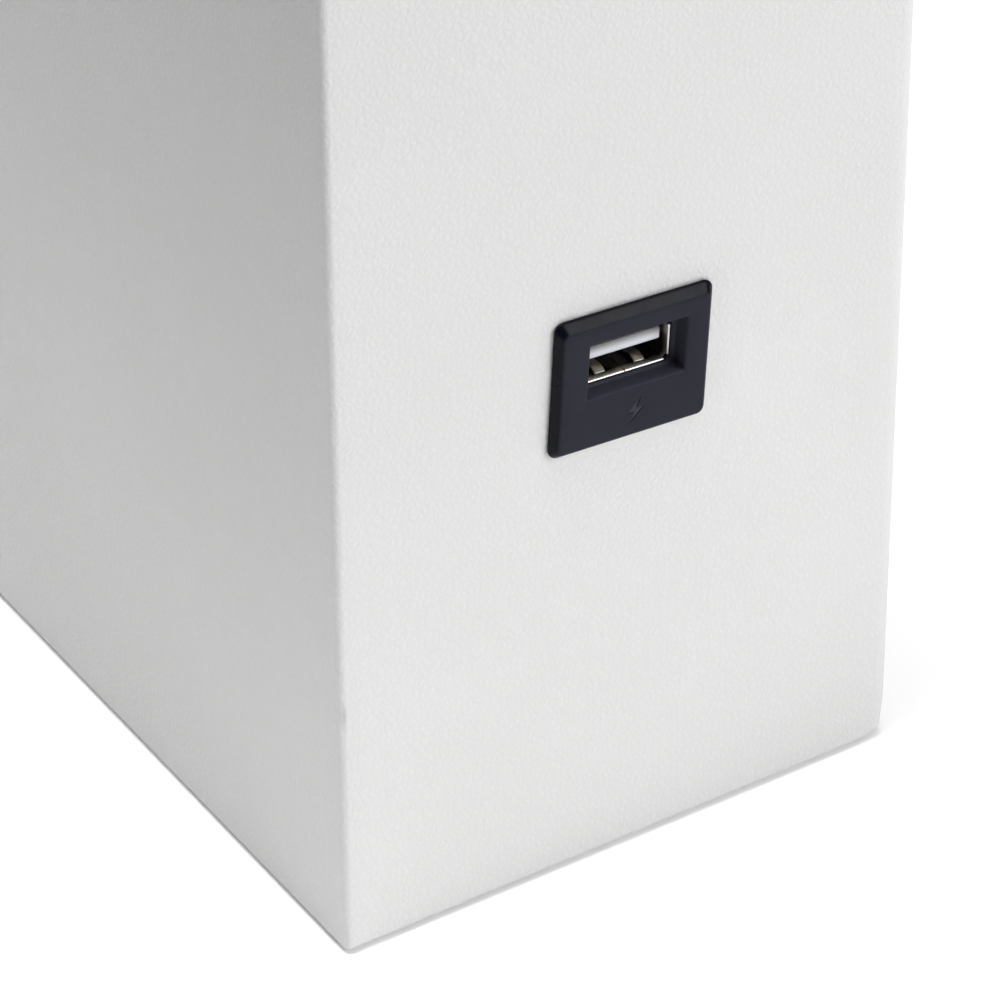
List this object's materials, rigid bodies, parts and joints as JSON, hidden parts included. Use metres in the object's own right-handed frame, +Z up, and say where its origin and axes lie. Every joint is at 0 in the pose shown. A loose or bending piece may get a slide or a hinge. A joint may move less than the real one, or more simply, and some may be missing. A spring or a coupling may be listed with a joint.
{
  "type": "usb charging post",
  "caption": "Tall narrow charging post wrapped in white grained leatherette, with a USB-A socket in a black bevelled bezel low on its narrow front face.",
  "frame": {"origin": "centre of the outline on the surface the post stands on", "axes": "+Z up along the post; -Y is the narrow face with the USB socket, +Y the face with the inlet; +X to the right seen from the socket face"},
  "size_m": [0.0866, 0.1528, 0.3],
  "materials": {
    "leatherette": "fine-grained matt white leatherette",
    "foam": "open-cell foam sheet",
    "fibreboard": "medium-density fibreboard",
    "pine": "planed softwood",
    "zinc_screw": "zinc-plated",
    "staple_wire": "galvanised wire",
    "felt": "needled felt",
    "ballast_steel": "black oxide steel plate",
    "bezel_plastic": "semi-gloss blue-black",
    "shell_nickel": "nickel-plated spring steel",
    "tongue_plastic": "moulded white",
    "contact_gold": "gold-flashed phosphor bronze",
    "board_green": "solder mask on glass-epoxy",
    "chip_black": "moulded epoxy",
    "header_white": "natural nylon",
    "case_black": "textured polycarbonate",
    "inlet_black": "fine-textured black",
    "pin_nickel": "nickel-plated brass",
    "boot_red": "soft vinyl",
    "lead_brown": "vinyl insulation",
    "lead_blue": "vinyl insulation",
    "lead_red": "vinyl insulation",
    "lead_black": "vinyl insulation",
    "clip_white": "nylon",
    "fuse_glass": "glass tube with nickel caps",
    "capacitor_sleeve": "heat-shrunk sleeve",
    "ferrite": "sintered ferrite",
    "tape_yellow": "polyester tape",
    "terminal_green": "moulded nylon"
  },
  "bodies": {
    "post": {"leatherette_cover": "leatherette", "top_inlay": "leatherette", "wadding_front": "foam", "wadding_back": "foam", "wadding_left": "foam", "wadding_right": "foam", "wadding_top": "foam", "front_panel": "fibreboard", "back_panel": "fibreboard", "left_panel": "fibreboard", "right_panel": "fibreboard", "top_panel": "fibreboard", "base_board": "fibreboard", "corner_posts": "pine", "base_screws": "zinc_screw", "hem_staples": "staple_wire", "felt_pad": "felt", "ballast_plate": "ballast_steel", "ballast_screws": "zinc_screw", "socket_bezel": "bezel_plastic", "socket_shell": "shell_nickel", "socket_tongue": "tongue_plastic", "contact_tails": "contact_gold", "socket_board": "board_green", "socket_chips": "chip_black", "socket_header": "header_white", "lead_plug": "header_white", "socket_rear_cap": "case_black", "inlet_body": "inlet_black", "inlet_pins": "pin_nickel", "inlet_boots": "boot_red", "live_lead": "lead_brown", "neutral_lead": "lead_blue", "positive_lead": "lead_red", "negative_lead": "lead_black", "lead_clip": "clip_white", "supply_tray": "case_black", "supply_lid": "case_black", "supply_board": "board_green", "supply_fuse": "fuse_glass", "bulk_capacitor": "capacitor_sleeve", "output_capacitors": "capacitor_sleeve", "transformer_core": "ferrite", "transformer_coil": "tape_yellow", "supply_chips": "chip_black", "mains_terminals": "terminal_green", "output_terminals": "terminal_green", "supply_screws": "zinc_screw"},
    "finger_lower_left_spring": {"finger_lower_left": "shell_nickel"},
    "finger_lower_right_spring": {"finger_lower_right": "shell_nickel"},
    "finger_upper_left_spring": {"finger_upper_left": "shell_nickel"},
    "finger_upper_right_spring": {"finger_upper_right": "shell_nickel"},
    "contact_1_spring": {"contact_1": "contact_gold"},
    "contact_2_spring": {"contact_2": "contact_gold"},
    "contact_3_spring": {"contact_3": "contact_gold"},
    "contact_4_spring": {"contact_4": "contact_gold"}
  },
  "joints": [
    {"name": "finger_lower_left_flex", "type": "hinge", "parent": "post", "child": "finger_lower_left_spring", "pos_m": [-0.00301, -0.06659, 0.07446], "axis": [0.9984, 0, -0.0565], "range_deg": [0, 4.5], "stiffness_Nm_per_rad": 0.1, "springref_deg": -0.57},
    {"name": "finger_lower_right_flex", "type": "hinge", "parent": "post", "child": "finger_lower_right_spring", "pos_m": [0.00288, -0.06659, 0.07412], "axis": [0.9984, 0, -0.0565], "range_deg": [0, 4.5], "stiffness_Nm_per_rad": 0.1, "springref_deg": -0.57},
    {"name": "finger_upper_left_flex", "type": "hinge", "parent": "post", "child": "finger_upper_left_spring", "pos_m": [-0.0027, -0.06659, 0.07987], "axis": [-0.9984, 0, 0.0565], "range_deg": [0, 4.5], "stiffness_Nm_per_rad": 0.1, "springref_deg": -0.57},
    {"name": "finger_upper_right_flex", "type": "hinge", "parent": "post", "child": "finger_upper_right_spring", "pos_m": [0.00319, -0.06659, 0.07954], "axis": [-0.9984, 0, 0.0565], "range_deg": [0, 4.5], "stiffness_Nm_per_rad": 0.1, "springref_deg": -0.57},
    {"name": "contact_1_flex", "type": "hinge", "parent": "post", "child": "contact_1_spring", "pos_m": [-0.00338, -0.06424, 0.07763], "axis": [-0.9984, 0, 0.0565], "range_deg": [0, 2.5], "stiffness_Nm_per_rad": 0.12, "springref_deg": -0.57},
    {"name": "contact_2_flex", "type": "hinge", "parent": "post", "child": "contact_2_spring", "pos_m": [-0.00088, -0.06424, 0.07749], "axis": [-0.9984, 0, 0.0565], "range_deg": [0, 2.5], "stiffness_Nm_per_rad": 0.12, "springref_deg": -0.57},
    {"name": "contact_3_flex", "type": "hinge", "parent": "post", "child": "contact_3_spring", "pos_m": [0.00111, -0.06424, 0.07738], "axis": [-0.9984, 0, 0.0565], "range_deg": [0, 2.5], "stiffness_Nm_per_rad": 0.12, "springref_deg": -0.57},
    {"name": "contact_4_flex", "type": "hinge", "parent": "post", "child": "contact_4_spring", "pos_m": [0.00361, -0.06424, 0.07723], "axis": [-0.9984, 0, 0.0565], "range_deg": [0, 2.5], "stiffness_Nm_per_rad": 0.12, "springref_deg": -0.57}
  ]
}
